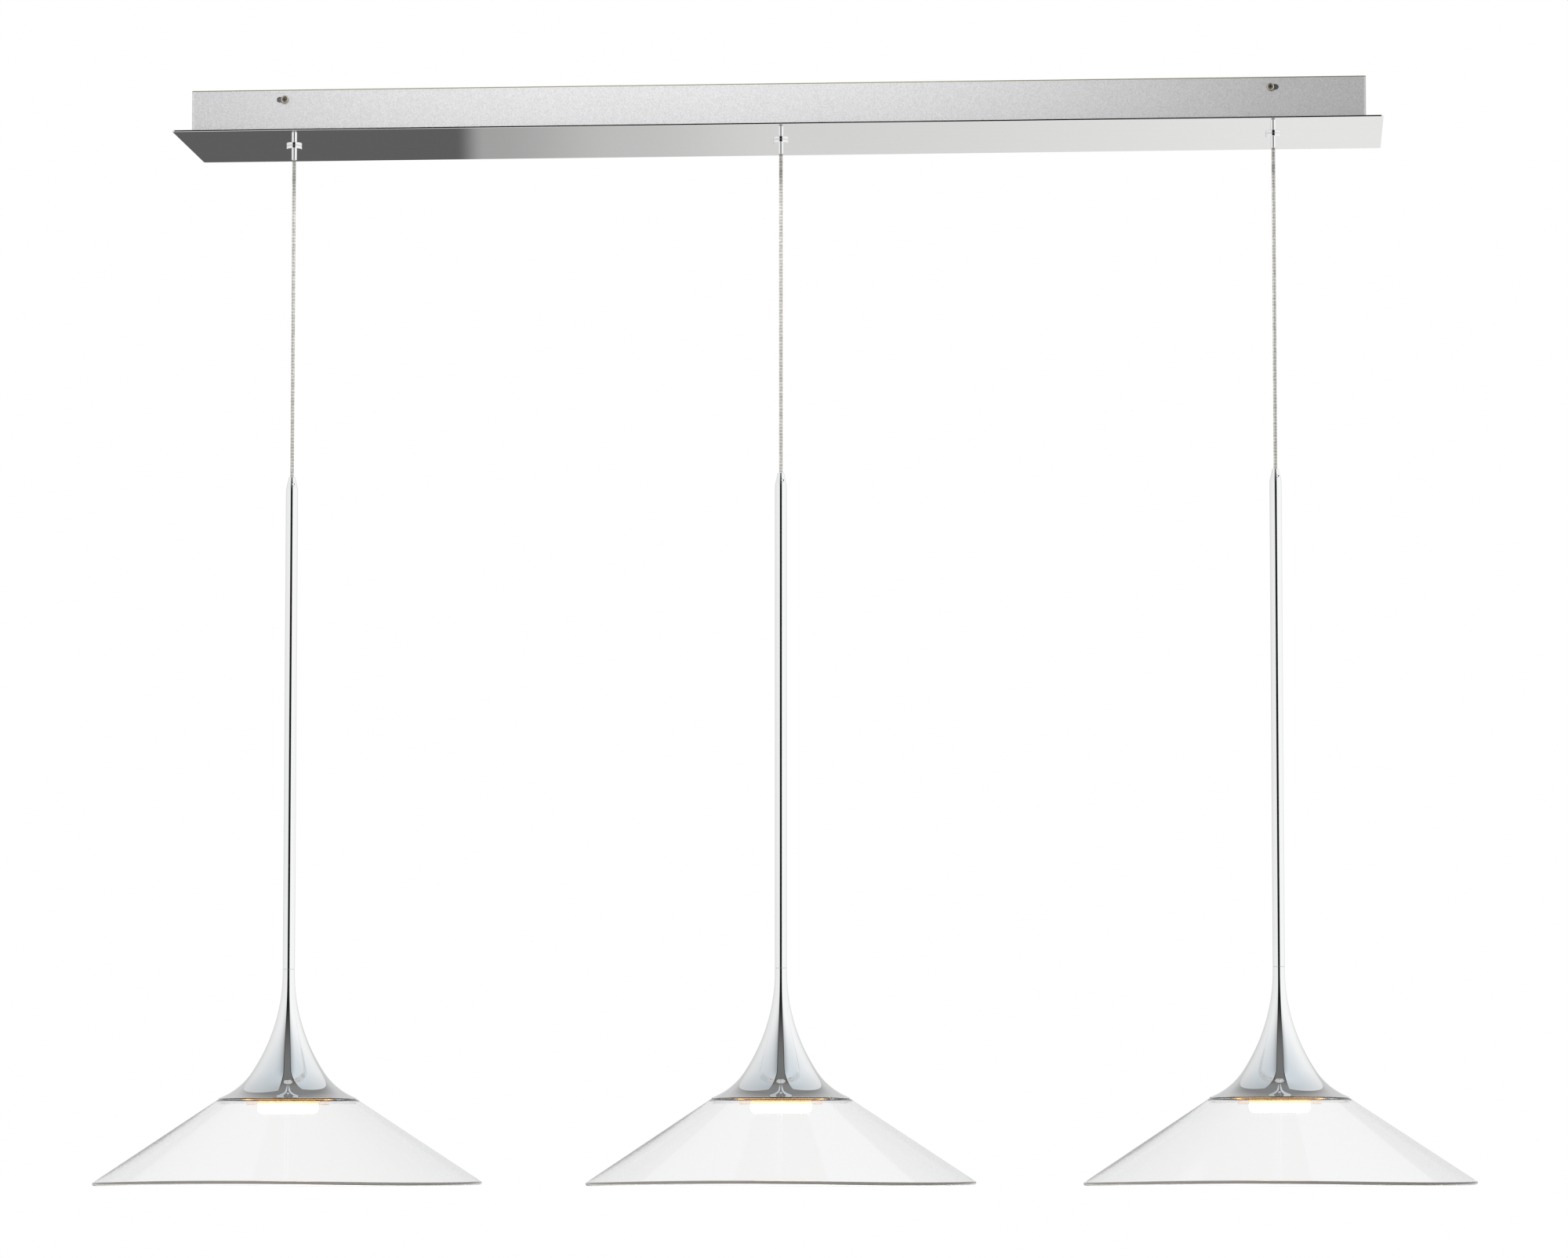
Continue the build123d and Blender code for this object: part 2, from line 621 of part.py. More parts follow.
# Pieces of the canopy, then the pieces that every pendant has, each at its own place
pieces = {
    "ceiling_bracket": ceiling_bracket(),
    "canopy_pan": canopy_pan(),
    "canopy_plate": canopy_plate(),
    "canopy_side_screws": Compound(side_screws()),
    "canopy_nuts": Compound(canopy_nuts()),
    "led_driver": led_driver(),
}
gripper_nut = Pos(0, 0, pan_floor) * hex_nut(GRIPPER_NUT_FLATS, GRIPPER_NUT_HEIGHT, BARREL_R)
for node, solid in (
    ("gripper_nuts", gripper_nut),
    ("cable_tails", cable_tail()),
    ("cable_stops", cable_stop()),
):
    pieces[node] = Compound([Pos(x, 0, 0) * solid for _, x in pendant_places()])

pendant_pieces = {
    "gripper_body": gripper_body(),
    "gripper_spring": gripper_spring(),
    "gripper_plunger": gripper_plunger(),
    "clutch_balls": Compound(clutch_balls()),
    "cable_neck": cable_neck(),
    "cable": cable(),
    "stem_cap": stem_cap(),
    "cap_screw": cap_screw(),
    "stem_tube": stem_tube(),
    "stem_nipple": stem_nipple(),
    "bell": bell(),
    "heat_sink": heat_sink(),
    "led_board": led_board(),
    "diffuser": diffuser(),
    "bezel_ring": bezel_ring(),
    "shade_gasket": shade_gasket(),
    "glass_shade": glass_shade(),
}
for side, x in pendant_places():
    for node, solid in pendant_pieces.items():
        pieces[f"{node}_{side}"] = Pos(x, 0, 0) * solid

os.makedirs("parts", exist_ok=True)
for node, shape in pieces.items():
    export_step(shape, f"parts/{node}.step")
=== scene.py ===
import math

import bmesh
import bpy
from mathutils import Matrix, Vector


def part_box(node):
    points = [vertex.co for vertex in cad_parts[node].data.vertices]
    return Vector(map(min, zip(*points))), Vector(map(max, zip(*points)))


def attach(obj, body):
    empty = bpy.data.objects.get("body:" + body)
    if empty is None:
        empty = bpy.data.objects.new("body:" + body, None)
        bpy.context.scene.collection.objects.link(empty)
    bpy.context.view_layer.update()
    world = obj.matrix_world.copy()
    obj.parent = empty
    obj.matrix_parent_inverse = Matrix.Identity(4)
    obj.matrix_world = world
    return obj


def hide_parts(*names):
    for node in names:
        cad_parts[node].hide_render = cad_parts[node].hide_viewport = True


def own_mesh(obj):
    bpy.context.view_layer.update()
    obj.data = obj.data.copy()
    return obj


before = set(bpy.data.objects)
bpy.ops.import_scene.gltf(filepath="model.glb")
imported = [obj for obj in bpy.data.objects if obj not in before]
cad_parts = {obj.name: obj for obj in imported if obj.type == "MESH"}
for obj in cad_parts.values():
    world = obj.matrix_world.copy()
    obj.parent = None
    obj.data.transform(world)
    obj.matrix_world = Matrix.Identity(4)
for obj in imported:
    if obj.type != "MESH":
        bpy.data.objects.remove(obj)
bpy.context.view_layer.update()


# Ceiling bracket: an H-shaped strap of zinc-plated steel whose folded tabs take the side screws.
# It is screwed to the ceiling box and carries the rest; the plating is grey with a faint cloudy bloom.
class Tone:
    """One socket of a finish; arithmetic on it adds the Math nodes."""

    def __init__(self, finish, socket):
        self.finish, self.socket = finish, socket

    def maths(self, operation, *terms):
        return self.finish.add("ShaderNodeMath", {"operation": operation}, dict(enumerate(terms)))

    def __add__(self, other):
        return self.maths("ADD", self, other)

    def __radd__(self, other):
        return self.maths("ADD", other, self)

    def __sub__(self, other):
        return self.maths("SUBTRACT", self, other)

    def __rsub__(self, other):
        return self.maths("SUBTRACT", other, self)

    def __mul__(self, other):
        return self.maths("MULTIPLY", self, other)

    def __rmul__(self, other):
        return self.maths("MULTIPLY", other, self)

    def __truediv__(self, other):
        return self.maths("DIVIDE", self, other)

    def __rtruediv__(self, other):
        return self.maths("DIVIDE", other, self)

    def __abs__(self):
        return self.maths("ABSOLUTE", self)

    def sine(self):
        return self.maths("SINE", self)

    def step(self, low, high):
        """0 below low, 1 above high, smooth between."""
        return self.finish.add(
            "ShaderNodeMapRange",
            {"interpolation_type": "SMOOTHSTEP", "clamp": True},
            {"Value": self, "From Min": low, "From Max": high},
        )


class Finish:
    """A node tree, with one way to add nodes to it."""

    def __init__(self, tree):
        self.tree = tree

    def add(self, kind, settings=(), sockets=(), out=0):
        node = self.tree.nodes.new(kind)
        for name, value in dict(settings).items():
            setattr(node, name, value)
        for name, value in dict(sockets).items():
            self.join(node.inputs[name], value)
        return Tone(self, node.outputs[out])

    def join(self, socket, value):
        if isinstance(value, Tone):
            self.tree.links.new(value.socket, socket)
        else:
            socket.default_value = value

    def mix(self, share, low, high):
        return self.add("ShaderNodeMix", {"data_type": "RGBA"}, {0: share, 6: low, 7: high}, 2)

    def noise(self, place, scale, detail=2.0, roughness=0.5):
        sockets = {"Vector": place, "Scale": scale, "Detail": detail, "Roughness": roughness}
        return self.add("ShaderNodeTexNoise", {}, sockets)

    def bump(self, height, distance, strength=1.0):
        return self.add("ShaderNodeBump", {}, {"Height": height, "Distance": distance, "Strength": strength})

    def axes(self, place):
        return [self.add("ShaderNodeSeparateXYZ", {}, {0: place}, k) for k in range(3)]

    def stretched(self, place, scale):
        return self.add("ShaderNodeVectorMath", {"operation": "MULTIPLY"}, {0: place, 1: scale})


class Surface(Finish):
    """A material on the principled shader; values are set on its own sockets, patterns are linked to them."""

    def __init__(self, name, **sockets):
        self.material = bpy.data.materials.new(name)
        self.material.use_nodes = True
        super().__init__(self.material.node_tree)
        self.shader = self.tree.nodes["Principled BSDF"]
        self.place = self.add("ShaderNodeTexCoord", {}, {}, "Object")
        self.set(**sockets)

    def set(self, **sockets):
        for name, value in sockets.items():
            self.join(self.shader.inputs[name.replace("_", " ")], value)

    def dress(self, *nodes):
        for node in nodes:
            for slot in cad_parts[node].material_slots:
                slot.material = self.material


zinc = Surface("zinc_plate", Metallic=1.0)
bloom = zinc.noise(zinc.place, 55, 4)
zinc.set(
    Base_Color=zinc.mix(bloom.step(0.3, 0.7), (0.47, 0.49, 0.51, 1), (0.68, 0.69, 0.67, 1)),
    Roughness=0.26 + 0.2 * zinc.noise(zinc.place, 240, 3),
    Normal=zinc.bump(zinc.noise(zinc.place, 1400), 0.00004),
)
zinc.dress("ceiling_bracket", "canopy_nuts", "gripper_nuts", "cable_stops")


# Pan: one folded sheet that closes against the ceiling, sprayed with a fine metallic silver paint.
# The paint shows a sparkling grain, lies a little thicker in the bends, and is thin along the cut top edge, where a
# dark line of painted shade runs.
PAN_WALL = 0.001
paint = Surface("silver_paint", Metallic=0.5, Coat_Roughness=0.25)
grain = paint.noise(paint.place, 1100, 3, 0.75)
cloud = paint.noise(paint.place, 18, 3)
pan_z = paint.axes(paint.place)[2]
thin_coat_shaded_edge = pan_z.step(-PAN_WALL - 0.0001, -PAN_WALL / 2)
silver = paint.mix(grain.step(0.28, 0.72), (0.63, 0.625, 0.635, 1), (0.83, 0.825, 0.835, 1))
paint.set(
    # Base colour: silver grain, with a dark olive line of painted shade along the top edge.
    Base_Color=paint.mix(thin_coat_shaded_edge, silver, (0.30, 0.29, 0.18, 1)),
    Roughness=0.36 + 0.10 * grain + 0.06 * cloud,
    Coat_Weight=0.35 - 0.3 * thin_coat_shaded_edge,
    Normal=paint.bump(grain, 0.000006),
)
paint.dress("canopy_pan")


# Plate: polished chrome-plated steel under the pan, drawn up by welded studs.
# Its face is a mirror with faint lengthwise polishing streaks, and its rounded edges are a little duller.
PLATE_END, PLATE_SIDE = 0.5, 0.08
EDGE_DULL, EDGE_FADE = 0.0007, 0.0002
plate = Surface("polished_plate", Metallic=1.0)
streak = plate.noise(plate.stretched(plate.place, (3, 420, 60)), 1.0, 4, 0.6)
plate_x, plate_y, _ = plate.axes(plate.place)
end_edge = abs(plate_x).step(PLATE_END - EDGE_DULL, PLATE_END - EDGE_FADE)
side_edge = abs(plate_y).step(PLATE_SIDE - EDGE_DULL, PLATE_SIDE - EDGE_FADE)
sheared = 1 - (1 - side_edge) * (1 - end_edge)
plate.set(
    Base_Color=plate.mix(streak, (0.86, 0.855, 0.845, 1), (0.94, 0.935, 0.925, 1)),
    Roughness=0.008 + 0.03 * streak + 0.09 * sheared,
    Normal=plate.bump(streak, 0.000012),
)
plate.dress("canopy_plate")


# Side screws: round-headed cross-recess screws that draw the pan to the bracket's tabs.
# They are bronzed steel, darker close to the pan face and lighter over the crown of the head.
SCREW_CROWN = (0.0668, 0.0682)
bronzed = Surface("bronzed_screw", Metallic=1.0)
screw_y = bronzed.axes(bronzed.place)[1]
crown = abs(screw_y).step(*SCREW_CROWN)
bronzed.set(
    Base_Color=bronzed.mix(crown, (0.26, 0.22, 0.17, 1), (0.62, 0.56, 0.47, 1)),
    Roughness=0.28 + 0.2 * bronzed.noise(bronzed.place, 900, 3),
)
bronzed.dress("canopy_side_screws")


# Driver: a moulded white case with a terminal step at each end, on two studs of the plate.
# The plastic has a fine spark-eroded texture and is a little warmer where it is thin.
case = Surface("white_case")
case_grain = case.noise(case.place, 1800, 2)
case.set(
    Base_Color=case.mix(case.noise(case.place, 40), (0.80, 0.80, 0.78, 1), (0.88, 0.88, 0.86, 1)),
    Roughness=0.42 + 0.16 * case_grain,
    Normal=case.bump(case_grain, 0.00005),
)
case.dress("led_driver")


# Grippers: a turned chrome body through plate and pan, with a release sleeve, a spring and three balls inside.
# Turned chrome keeps a trace of the lathe, rings round the axis that only the gloss shows.
# The spring is wound from bright wire, stands on the sleeve, and shortens when the sleeve is pressed.
pendants = {"left": -0.41, "middle": 0.0, "right": 0.41}
SPRING_WIRE_R = 0.00025
SPRING_TURNS = 4
STEPS_A_TURN = 24
chrome = Surface("turned_chrome", Metallic=1.0, Base_Color=(0.92, 0.925, 0.93, 1))
rings = chrome.noise(chrome.stretched(chrome.place, (8, 8, 2600)), 1.0, 2)
chrome.set(Roughness=0.012 + 0.02 * rings * chrome.noise(chrome.place, 30))
spring_steel = Surface("spring_steel", Metallic=1.0)
drawn = spring_steel.noise(spring_steel.place, 2600, 3)
spring_steel.set(
    Base_Color=spring_steel.mix(drawn, (0.42, 0.43, 0.45, 1), (0.62, 0.63, 0.65, 1)),
    Roughness=0.2 + 0.15 * drawn,
)
for side, x in pendants.items():
    chrome.dress(f"gripper_body_{side}", f"gripper_plunger_{side}", f"stem_cap_{side}", f"cap_screw_{side}")
    spring_steel.dress(f"clutch_balls_{side}")
    spring_low, spring_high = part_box(f"gripper_spring_{side}")
    coil_r = (spring_high[0] - spring_low[0]) / 2 - SPRING_WIRE_R
    spring_length = spring_high[2] - spring_low[2]
    steps = STEPS_A_TURN * SPRING_TURNS
    bm = bmesh.new()
    wire_start = Matrix.Translation((x + coil_r, 0, spring_low[2] + SPRING_WIRE_R))
    upright = Matrix.Rotation(math.pi / 2, 4, "X")
    bmesh.ops.create_circle(bm, segments=12, radius=SPRING_WIRE_R, matrix=wire_start @ upright)
    wire_ends = [bm.edges[:]]
    coil = bmesh.ops.spin(
        bm, geom=bm.verts[:] + bm.edges[:], cent=(x, 0, 0), axis=(0, 0, 1), angle=math.tau * SPRING_TURNS,
        dvec=(0, 0, (spring_length - 2 * SPRING_WIRE_R) / steps), steps=steps,
    )
    wire_ends.append([g for g in coil["geom_last"] if isinstance(g, bmesh.types.BMEdge)])
    for wire_end in wire_ends:
        bmesh.ops.edgeloop_fill(bm, edges=wire_end)
    bmesh.ops.recalc_face_normals(bm, faces=bm.faces)
    for face in bm.faces:
        face.smooth = len(face.verts) == 4
    spring = bpy.data.objects.new(f"release_spring_{side}", bpy.data.meshes.new(f"release_spring_{side}"))
    bm.to_mesh(spring.data)
    bm.free()
    spring.data.materials.append(spring_steel.material)
    bpy.context.scene.collection.objects.link(spring)
    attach(spring, "canopy")
    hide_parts(f"gripper_spring_{side}")
    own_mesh(spring)


# Cables: tinned braid under a clear jacket, 3 mm thick, from a crimped stop through the gripper to the stem's cap.
# Each hangs straight; its tail stays in the gripper, its neck bends below the sleeve, and its run ends in the cap.
CABLE_R = 0.0015
BRAID_PITCH = 0.0052
BRAID_STRANDS = 4
BEND_FRONT = -0.0495
BEND_SIDE = -0.0615
CAP_TOP = -0.3163
TAIL_TOP = -0.0170
CABLE_IN_CAP = 0.012
braid = Surface("jacketed_braid", Metallic=0.35, Coat_Weight=1.0, Coat_Roughness=0.06)
braid_u, braid_v, _ = braid.axes(braid.add("ShaderNodeTexCoord", {}, {}, "UV"))
turns = braid_u * (math.tau * BRAID_STRANDS)
climb = braid_v * (math.tau / BRAID_PITCH)
weave = (turns + climb).sine() * (turns - climb).sine()
mottle = braid.noise(braid.place, 420, 2)
strand = (0.5 + 0.4 * weave + 1.1 * (mottle - 0.5)).step(0.1, 0.95)
braid.set(
    Base_Color=braid.mix(strand, (0.44, 0.42, 0.38, 1), (0.90, 0.88, 0.83, 1)),
    Roughness=0.34 + 0.2 * (1 - strand),
    Normal=braid.bump(strand, 0.00012),
)


def braided(name, route):
    """A length of cable along the smooth line of its route, and the points of that line."""
    curve = bpy.data.curves.new(name + "_line", "CURVE")
    curve.dimensions = "3D"
    spline = curve.splines.new("NURBS")
    spline.points.add(len(route) - 1)
    for point, place in zip(spline.points, route):
        point.co = (*place, 1)
    spline.order_u = 3
    spline.use_endpoint_u = True
    line = bpy.data.objects.new(name + "_line", curve)
    drawn_line = bpy.data.meshes.new_from_object(line)
    path = [v.co.copy() for v in drawn_line.vertices]
    bpy.data.objects.remove(line)
    bpy.data.meshes.remove(drawn_line)
    bm = bmesh.new()
    uv = bm.loops.layers.uv.new("braid")
    ring = bmesh.ops.create_circle(bm, segments=20, radius=CABLE_R, matrix=Matrix.Translation(path[0]))["verts"]
    edge = list(bm.edges)
    bmesh.ops.edgeloop_fill(bm, edges=edge)
    for here, there in zip(path, path[1:]):
        made = bmesh.ops.extrude_edge_only(bm, edges=edge)["geom"]
        ring = [g for g in made if isinstance(g, bmesh.types.BMVert)]
        edge = [g for g in made if isinstance(g, bmesh.types.BMEdge) and all(v in ring for v in g.verts)]
        bmesh.ops.translate(bm, verts=ring, vec=there - here)
    bmesh.ops.edgeloop_fill(bm, edges=edge)
    bmesh.ops.recalc_face_normals(bm, faces=bm.faces)
    for face in bm.faces:
        face.smooth = len(face.verts) == 4
        middle = face.calc_center_median() - path[0]
        turn = math.atan2(middle.y, middle.x)
        for loop in face.loops:
            out = loop.vert.co - path[0]
            off = (math.atan2(out.y, out.x) - turn + math.pi) % math.tau - math.pi
            loop[uv].uv = ((turn + off) / math.tau, -out.z)
    piece = bpy.data.objects.new(name, bpy.data.meshes.new(name))
    bm.to_mesh(piece.data)
    bm.free()
    piece.data.materials.append(braid.material)
    bpy.context.scene.collection.objects.link(piece)
    return piece, path


for side, x in pendants.items():
    tail_levels = (TAIL_TOP, -0.0270, -0.0380, BEND_FRONT + 0.0001)
    tail, _ = braided(f"cable_tail_{side}", [(x, 0, z) for z in tail_levels])
    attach(tail, "canopy")
    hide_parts("cable_tails")
    neck_levels = (BEND_FRONT + 0.0009, -0.0555, BEND_SIDE - 0.0001)
    neck, _ = braided(f"cable_bend_{side}", [(x, 0, z) for z in neck_levels])
    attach(neck, f"neck_{side}")
    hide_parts(f"cable_neck_{side}")
    run_levels = (BEND_SIDE, -0.150, -0.240, CAP_TOP - CABLE_IN_CAP)
    run, path = braided(f"cable_run_{side}", [(x, 0, z) for z in run_levels])
    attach(run, f"hang_{side}")
    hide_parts(f"cable_{side}")
    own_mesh(run)


# Stems: drawn chrome tube from the tapered cap to the bell, with a small socket screw across the cap.
# The tube is cut square, so only a hair line shows where the bell follows it.
STEM_R = 0.005
STEM_WALL = 0.001
SEAM_EDGE = 0.0003
SEAM_GAP = 0.00008
STEM_TOP = -0.3283
BELL_TOP = -0.7273
TURNS = 192


class Outline:
    """A line of radius and height in the plane of a lathe, drawn from point to point."""

    def __init__(self, radius, height):
        self.bm = bmesh.new()
        self.end = self.first = self.bm.verts.new((radius, 0, height))

    def to(self, radius, height):
        made = bmesh.ops.extrude_vert_indiv(self.bm, verts=[self.end])
        self.end = made["verts"][0]
        self.end.co = (radius, 0, height)
        return self

    def arc(self, centre, turn, steps):
        """Round a centre of radius and height, in degrees, towards the outside and down."""
        made = bmesh.ops.spin(
            self.bm, geom=[self.end], cent=(centre[0], 0, centre[1]), axis=(0, -1, 0),
            angle=math.radians(turn), steps=steps,
        )
        self.end = next(g for g in made["geom_last"] if isinstance(g, bmesh.types.BMVert))
        return self

    def corner(self, radius, height, rounding, segments=6):
        """Rounds the corner that stands at a point, by the distance along its sides."""
        corner = min(self.bm.verts, key=lambda v: (v.co - Vector((radius, 0, height))).length)
        bmesh.ops.bevel(
            self.bm, geom=[corner], offset=rounding, offset_type="OFFSET", affect="VERTICES",
            segments=segments, profile=0.5, material=-1,
        )
        return self

    def close(self):
        self.bm.edges.new((self.end, self.first))
        return self

    def turned(self, name, x, material, wall=0.0, turns=TURNS):
        """The piece turned from this line, at its pendant, with an even wall if one is given."""
        bm = self.bm.copy()
        bmesh.ops.spin(
            bm, geom=bm.verts[:] + bm.edges[:], cent=(0, 0, 0), axis=(0, 0, 1), angle=math.tau,
            steps=turns, use_merge=True,
        )
        bmesh.ops.remove_doubles(bm, verts=bm.verts, dist=1e-6)
        bmesh.ops.recalc_face_normals(bm, faces=bm.faces)
        if wall:
            bmesh.ops.solidify(bm, geom=bm.faces[:], thickness=-wall)
            bmesh.ops.reverse_faces(bm, faces=bm.faces)
        for face in bm.faces:
            face.smooth = True
        for edge in bm.edges:
            edge.smooth = len(edge.link_faces) != 2 or edge.calc_face_angle() < math.radians(28)
        bmesh.ops.translate(bm, verts=bm.verts, vec=(x, 0, 0))
        piece = bpy.data.objects.new(name, bpy.data.meshes.new(name))
        bm.to_mesh(piece.data)
        bm.free()
        piece.data.materials.append(material)
        piece.modifiers.new("true_faces", "WEIGHTED_NORMAL").keep_sharp = True
        bpy.context.scene.collection.objects.link(piece)
        return piece


tube = Outline(STEM_R, STEM_TOP).to(STEM_R, BELL_TOP).to(STEM_R - STEM_WALL, BELL_TOP)
tube = tube.to(STEM_R - STEM_WALL, STEM_TOP).close().corner(STEM_R, BELL_TOP, SEAM_EDGE, 3)
for side, x in pendants.items():
    stem = tube.turned(f"stem_{side}", x, chrome.material)
    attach(stem, f"pendant_{side}")
    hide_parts(f"stem_tube_{side}")
    zinc.dress(f"stem_nipple_{side}")


# Bells: spun chrome trumpets drawn up to the stem by a hollow threaded nipple.
# A long sweep opens from the tube's width, and a flare lays the lip flatter than the glass; the edge is bare.
BELL_NECK = 0.0029
SWEEP_R, SWEEP_TURN = 0.1485, 33.7
FLARE_R, LIP_TURN = 0.056, 66.0
BELL_R = 0.0573
BELL_WALL = 0.001
bell_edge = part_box("bell_middle")[0][2]
sweep_centre = Vector((STEM_R + SWEEP_R, BELL_TOP - BELL_NECK))
inwards = Vector((math.cos(math.radians(SWEEP_TURN)), math.sin(math.radians(SWEEP_TURN))))
flare_centre = sweep_centre - (SWEEP_R - FLARE_R) * inwards
bell_line = Outline(STEM_R - SEAM_EDGE, BELL_TOP - SEAM_GAP).to(STEM_R, BELL_TOP - SEAM_GAP - SEAM_EDGE)
bell_line.to(STEM_R, sweep_centre[1])
bell_line.arc(sweep_centre, SWEEP_TURN, 48).arc(flare_centre, LIP_TURN - SWEEP_TURN, 40).to(BELL_R, bell_edge)
for side, x in pendants.items():
    trumpet = bell_line.turned(f"trumpet_{side}", x, chrome.material, wall=BELL_WALL)
    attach(trumpet, f"pendant_{side}")
    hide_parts(f"bell_{side}")


# Lamps: a finned aluminium heat sink in the bell, a white lamp board, an opal cup, and the clear ring that holds them.
# The cup is lit warm white; its lower face burns out, and its upper part shows amber through the ring.
aluminium = Surface("turned_aluminium", Metallic=1.0)
cut = aluminium.noise(aluminium.stretched(aluminium.place, (40, 40, 1800)), 1.0, 3)
aluminium.set(
    Base_Color=aluminium.mix(cut, (0.62, 0.63, 0.64, 1), (0.78, 0.79, 0.80, 1)),
    Roughness=0.28 + 0.2 * cut,
)
board = Surface("white_board")
board.set(
    Base_Color=board.mix(board.noise(board.place, 300), (0.84, 0.84, 0.82, 1), (0.92, 0.92, 0.90, 1)),
    Roughness=0.4 + 0.1 * board.noise(board.place, 900),
)
acrylic = Surface("clear_acrylic", Base_Color=(0.97, 0.97, 0.965, 1), IOR=1.49, Transmission_Weight=1.0)
acrylic.set(Roughness=0.015 + 0.03 * acrylic.noise(acrylic.place, 200))
cup_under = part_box("diffuser_middle")[0][2]
BURNT_HEIGHT, BURNT_FADE = 0.0088, 0.0026
opal = Surface("lit_opal", Roughness=0.35, Emission_Strength=8.0)
opal_z = opal.axes(opal.place)[2]
lit = (cup_under + BURNT_HEIGHT - opal_z).step(0, BURNT_FADE)
opal.set(
    Base_Color=opal.mix(opal.noise(opal.place, 120), (0.90, 0.86, 0.78, 1), (0.95, 0.92, 0.86, 1)),
    Emission_Color=opal.mix(lit, (0.09, 0.05, 0.02, 1), (1.0, 0.72, 0.42, 1)),
)
for side in pendants:
    aluminium.dress(f"heat_sink_{side}")
    board.dress(f"led_board_{side}")
    acrylic.dress(f"bezel_ring_{side}")
    opal.dress(f"diffuser_{side}")


# Shades: blown clear glass cones, clamped by the ring against a soft clear gasket under the bell.
# The wall is 3 mm with a fire-polished rim that is slightly wavy from the blowing, and a ground hole edge. Both carry
# painted glow: the rim where it is seen from inside the glass, the hole edge in amber for the lamp's light caught
# there.
silicone = Surface("clear_silicone", Roughness=0.4)
haze = silicone.noise(silicone.place, 500)
silicone.set(Base_Color=silicone.mix(haze, (0.50, 0.42, 0.34, 1), (0.66, 0.58, 0.48, 1)))
GLASS_WALL = 0.003
HOLE_R = 0.031
LEDGE_R = 0.0578
RIM_R = 0.1615
CONE_TURN = math.radians(56.5)
LEDGE_ROUND, RIM_ROUND, UNDER_ROUND = 0.0006, 0.0014, 0.0011
RIM_WAVE = 0.0007
glass_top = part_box("glass_shade_middle")[1][2]
glass_under = glass_top - GLASS_WALL
rim_z = glass_top - (RIM_R - LEDGE_R) / math.tan(CONE_TURN)
rim_in = Vector((RIM_R - GLASS_WALL * math.cos(CONE_TURN), rim_z - GLASS_WALL * math.sin(CONE_TURN)))
ledge_in = rim_in[0] - (glass_under - rim_in[1]) * math.tan(CONE_TURN)
glass = Surface("clear_glass", Roughness=0.0, IOR=1.45, Transmission_Weight=1.0)
slanting = glass.add("ShaderNodeLayerWeight", {}, {"Blend": 0.5}, "Facing").step(0.5, 1.0)
glass.set(Base_Color=glass.mix(slanting, (0.992, 0.992, 0.99, 1), (0.77, 0.775, 0.79, 1)))
# The rim's emission, seen only from inside the glass, is a painted glow of gathered light.
polished_rim = Surface("polished_rim", IOR=1.45, Transmission_Weight=0.4, Emission_Strength=1.0)
inside_rim_glow = polished_rim.add("ShaderNodeNewGeometry", {}, {}, "Backfacing")
swirl = polished_rim.noise(polished_rim.place, 26, 1)
polished_rim.set(
    Base_Color=polished_rim.mix(swirl, (0.74, 0.70, 0.66, 1), (0.86, 0.83, 0.80, 1)),
    Roughness=0.08 + 0.08 * swirl,
    Emission_Color=polished_rim.mix(inside_rim_glow, (0, 0, 0, 1), (0.80, 0.80, 0.79, 1)),
)
# The ground hole edge's amber emission is a painted glow standing in for the lamp's light in the glass.
ground = Surface("ground_edge_painted_glow", Emission_Color=(1.0, 0.48, 0.14, 1), Emission_Strength=0.28)
grit = ground.noise(ground.place, 900, 2)
ground.set(Base_Color=ground.mix(grit, (0.55, 0.42, 0.28, 1), (0.68, 0.54, 0.38, 1)), Roughness=0.6 + 0.2 * grit)
polished_rim.material.cycles.emission_sampling = ground.material.cycles.emission_sampling = "NONE"
shade_line = Outline(HOLE_R, glass_top).to(LEDGE_R, glass_top).to(RIM_R, rim_z).to(*rim_in)
shade_line.to(ledge_in, glass_under).to(HOLE_R, glass_under).close()
shade_line.corner(LEDGE_R, glass_top, LEDGE_ROUND).corner(RIM_R, rim_z, RIM_ROUND)
shade_line.corner(*rim_in, RIM_ROUND).corner(ledge_in, glass_under, UNDER_ROUND)
down_cone = Vector((math.sin(CONE_TURN), -math.cos(CONE_TURN)))
cone_end = down_cone.dot((RIM_R, rim_z))
for side, x in pendants.items():
    shade = shade_line.turned(f"shade_{side}", x, glass.material, turns=2 * TURNS)
    shade.data.materials.append(polished_rim.material)
    shade.data.materials.append(ground.material)
    for face in shade.data.polygons:
        out = math.hypot(face.center.x - x, face.center.y)
        if out < HOLE_R + 0.0001:
            face.material_index = 2
        elif down_cone.dot((out, face.center.z)) > cone_end - RIM_ROUND + 0.00005:
            face.material_index = 1
    for vert in shade.data.vertices:
        turn = math.atan2(vert.co.y, vert.co.x - x)
        share = max(0.0, math.hypot(vert.co.x - x, vert.co.y) - LEDGE_R) / (RIM_R - LEDGE_R)
        vert.co.z += RIM_WAVE * share ** 3 * math.sin(3 * turn + 0.6)
    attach(shade, f"pendant_{side}")
    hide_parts(f"glass_shade_{side}")
    silicone.dress(f"shade_gasket_{side}")


